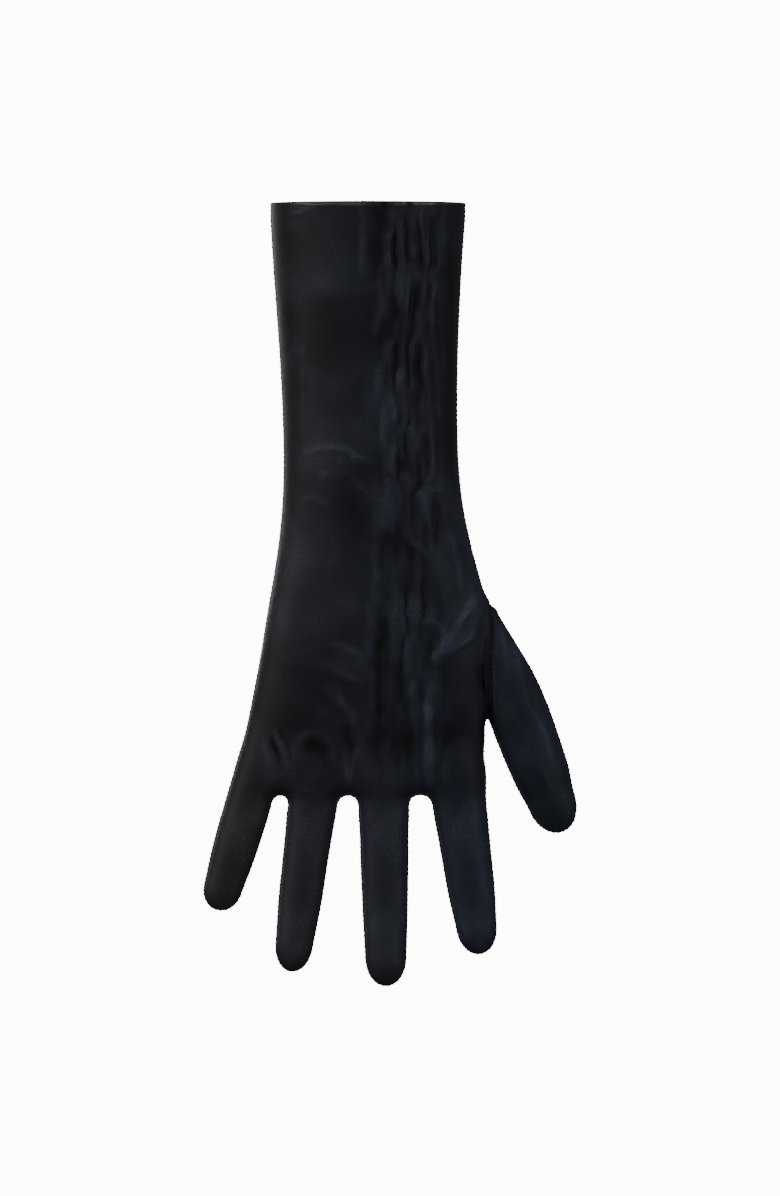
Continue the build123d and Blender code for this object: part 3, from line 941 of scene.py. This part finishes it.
def share_normals(mesh):
    """Shade a cut-out cloth with the normals that the whole skin had."""
    mesh.set_sharp_from_angle(angle=math.radians(50))
    whole = np.empty(len(mesh.vertices) * 3)
    mesh.attributes["whole_normal"].data.foreach_get("vector", whole)
    whole = whole.reshape(-1, 3)
    corners = np.empty(len(mesh.loops), int)
    mesh.loops.foreach_get("vertex_index", corners)
    normals = whole[corners]
    for polygon in mesh.polygons:
        loops = slice(polygon.loop_start, polygon.loop_start + polygon.loop_total)
        facing = float(np.mean(normals[loops] @ np.array(polygon.normal)))
        normals[loops] = normals[loops] * np.sign(facing) if abs(facing) > 0.55 else np.array(polygon.normal)
    mesh.normals_split_custom_set([tuple(n) for n in normals])
    mesh.attributes.remove(mesh.attributes["whole_normal"])


pieces = {}
for name in CLOTHS:
    mesh = cut_out(name)
    share_normals(mesh)
    pieces[name] = finish(f"{name}_cloth", mesh, mesh_cloth)
print({name: len(piece.data.polygons) for name, piece in pieces.items()})

# %% [markdown]
# ## Stitches
# An overlock machine sews the panels: its thread goes over the welt in short slanting loops. One loop is a
# thin tube that climbs over the seam, and it is repeated along the seam's line. Every loop belongs to the
# cloth that it is sewn into.


# %% The seam's line
def chains(edges):
    """Edges in order, as lists of points."""
    left, lines = dict.fromkeys(edges), []
    while left:
        edge = next(iter(left))
        del left[edge]
        line = list(edge.verts)
        for end in (0, 1):
            while True:
                tip = line[0] if end == 0 else line[-1]
                step = next((e for e in tip.link_edges if e in left), None)
                if step is None:
                    break
                del left[step]
                line.insert(0 if end == 0 else len(line), step.other_vert(tip))
        lines.append(line)
    return lines


def spaced(line, pitch):
    """Places at an even pitch along a chain, each with its direction and the cloth's outward direction."""
    co = np.array([v.co for v in line])
    outward = np.array([v.normal for v in line])
    run = np.concatenate([[0], np.cumsum(np.linalg.norm(np.diff(co, axis=0), axis=1))])
    for d in np.arange(pitch / 2, run[-1], pitch):
        def at_distance(values, d=d):
            return Vector([np.interp(d, run, values[:, k]) for k in range(3)])
        ahead = Vector([np.interp(min(d + pitch / 3, run[-1]), run, co[:, k]) for k in range(3)])
        here = at_distance(co)
        if (ahead - here).length > 1e-6:
            yield here, (ahead - here).normalized(), at_distance(outward).normalized()


seam_edges = [e for e in skin.edges if all(abs(v.co.y) < 1e-7 for v in e.verts)]
seam_lines = [line for line in chains(seam_edges) if len(line) > 20]
set_in_edges = [e for e in skin.edges if all(abs(v.co.x - SET_IN) < 1e-7 and v.co.z > -0.21 for v in e.verts)]
set_in_lines = [line for line in chains(set_in_edges) if len(line) > 20]
print(len(seam_lines), "outline seams and", len(set_in_lines), "set-in seam")


# %% One loop of thread, and a row of them
def thread_tube(points, thick):
    """A thin closed tube along a few points."""
    def ring_at(i):
        ahead = points[min(i + 1, len(points) - 1)] - points[max(i - 1, 0)]
        first = ahead.orthogonal().normalized()
        second = ahead.cross(first).normalized()
        return lambda turn: points[i] + (first * math.cos(turn) + second * math.sin(turn)) * thick
    return tube([ring_at(i) for i in range(len(points))], 6)


def loop_points(here, along_it, outward, across, reach, lift, slant):
    """A loop that climbs over a seam from one side to the other."""
    shape = [(-1.0, 0.0), (-0.55, 0.75), (0.0, 1.0), (0.55, 0.75), (1.0, 0.0)]
    return [here + across * (reach * side) + outward * (lift * up - 0.06 * MM) + along_it * (slant * side)
            for side, up in shape]


def sew(owner, points, thick):
    loop = thread_tube(points, thick)
    part = bpy.data.meshes.new("loop")
    loop.to_mesh(part)
    loop.free()
    threads[owner].from_mesh(part)
    bpy.data.meshes.remove(part)


# %% Sew both kinds of seam
OUTLINE_PITCH, SET_IN_PITCH = 2.1 * MM, 1.9 * MM
threads = {name: bmesh.new() for name in CLOTHS}
sewn = 0
for line in seam_lines:
    for here, along_it, outward in spaced(line, OUTLINE_PITCH):
        across = Vector((0, 1, 0))
        outward = (outward - across * outward.y).normalized()
        owner = cloth_of(here + Vector((0, -1e-5, 0)))
        points = loop_points(here, along_it, outward, across, reach=1.15 * MM, lift=0.24 * MM, slant=0.35 * MM)
        sew(owner, points, 0.10 * MM)
        sewn += 1
for line in set_in_lines:
    for here, along_it, outward in spaced(line, SET_IN_PITCH):
        across = along_it.cross(outward).normalized()
        points = loop_points(here, along_it, outward, across, reach=1.0 * MM, lift=0.55 * MM, slant=0.3 * MM)
        sew("thumb_base", points, 0.11 * MM)
        sewn += 1
stitches = {}
for name, bm in threads.items():
    if len(bm.verts):
        mesh = bpy.data.meshes.new(f"{name}_stitches")
        bm.to_mesh(mesh)
        stitches[name] = finish(f"{name}_stitches", mesh, thread)
    bm.free()
print(sewn, "loops of thread in", len(stitches), "pieces")
skin.free()
bpy.data.meshes.remove(cloth_mesh)

# %% [markdown]
# ## The bodies that each cloth lies between
# A cloth that crosses a joint lies between two bodies: the long panels at the wrist, the first cloth of a digit
# at its base knuckle, and so on to the tip. The table keeps the two bodies and where the turn would start and
# end; the cloths and their stitches only get their placement baked into their points.

# %% Bend zones of the cloths
WRIST = Vector(joints["wrist_bend"]["pos_m"])
WRIST_REACH = Vector((0, 0, 0.023))  # above and below the joint
BENDS = {name: ("sleeve", "hand", WRIST + WRIST_REACH, WRIST - WRIST_REACH) for name in ("palm_panel", "back_panel")}
for digit, line in LINES.items():
    bodies = ["hand"] + [f"{digit}_{part}" for part in (("base", "tip") if digit == "thumb"
                                                       else ("base", "middle", "tip"))]
    for above, below, (start, end) in zip(bodies, bodies[1:], ZONES[digit]):
        BENDS[below] = (above, below, line.point(start), line.point(end))
for name, (above, below, start, end) in BENDS.items():
    for item in (pieces[name], stitches.get(name)):
        if item:
            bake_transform(item)
            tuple(start)
            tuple(end)
print(len(BENDS), "cloths bend")

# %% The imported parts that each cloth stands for
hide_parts("sleeve_palm", "wrist_crease_palm", "hand_palm")
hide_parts("sleeve_back", "wrist_crease_back", "hand_back")
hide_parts("thumb_root", "thumb_base_palm", "thumb_base_back", "thumb_base_crease")
for name in CLOTHS[3:]:
    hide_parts(f"{name}_palm", f"{name}_back", f"{name}_crease")
print("every packed part is replaced")


# %% [markdown]
# ## Cloth sizes
# Each cloth is cut flat and stretched over the hand, so its cut is smaller than what it covers. The stretch is
# taken as 15 per cent, a likely figure for a close-fitting mesh and not a measured one.

STRETCH = 1.15
PANEL_FILL, DIGIT_FILL = 0.86, 0.9  # the share of its own rectangle that a cut piece covers
for name, piece in pieces.items():
    cloth = piece.data
    layer_area = sum(p.area for p in cloth.polygons) / 2
    lo, hi = (np.array([v.co for v in cloth.vertices]).min(0), np.array([v.co for v in cloth.vertices]).max(0))
    length = float(hi[2] - lo[2])
    flat_area = layer_area / STRETCH
    width = flat_area / length / (PANEL_FILL if name in ("palm_panel", "back_panel") else DIGIT_FILL)
    on_it = [stitches[name]] if name in stitches else []
    print(f"{name}: cut {width * 1000:.0f} x {length * 1000:.0f} mm")

# %% Sizes
low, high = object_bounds()
for label, box in (("visual", (*low, *high)), ("frame", (*cad_low, *cad_high))):
    print(label, [round(c / MM, 1) for c in box])
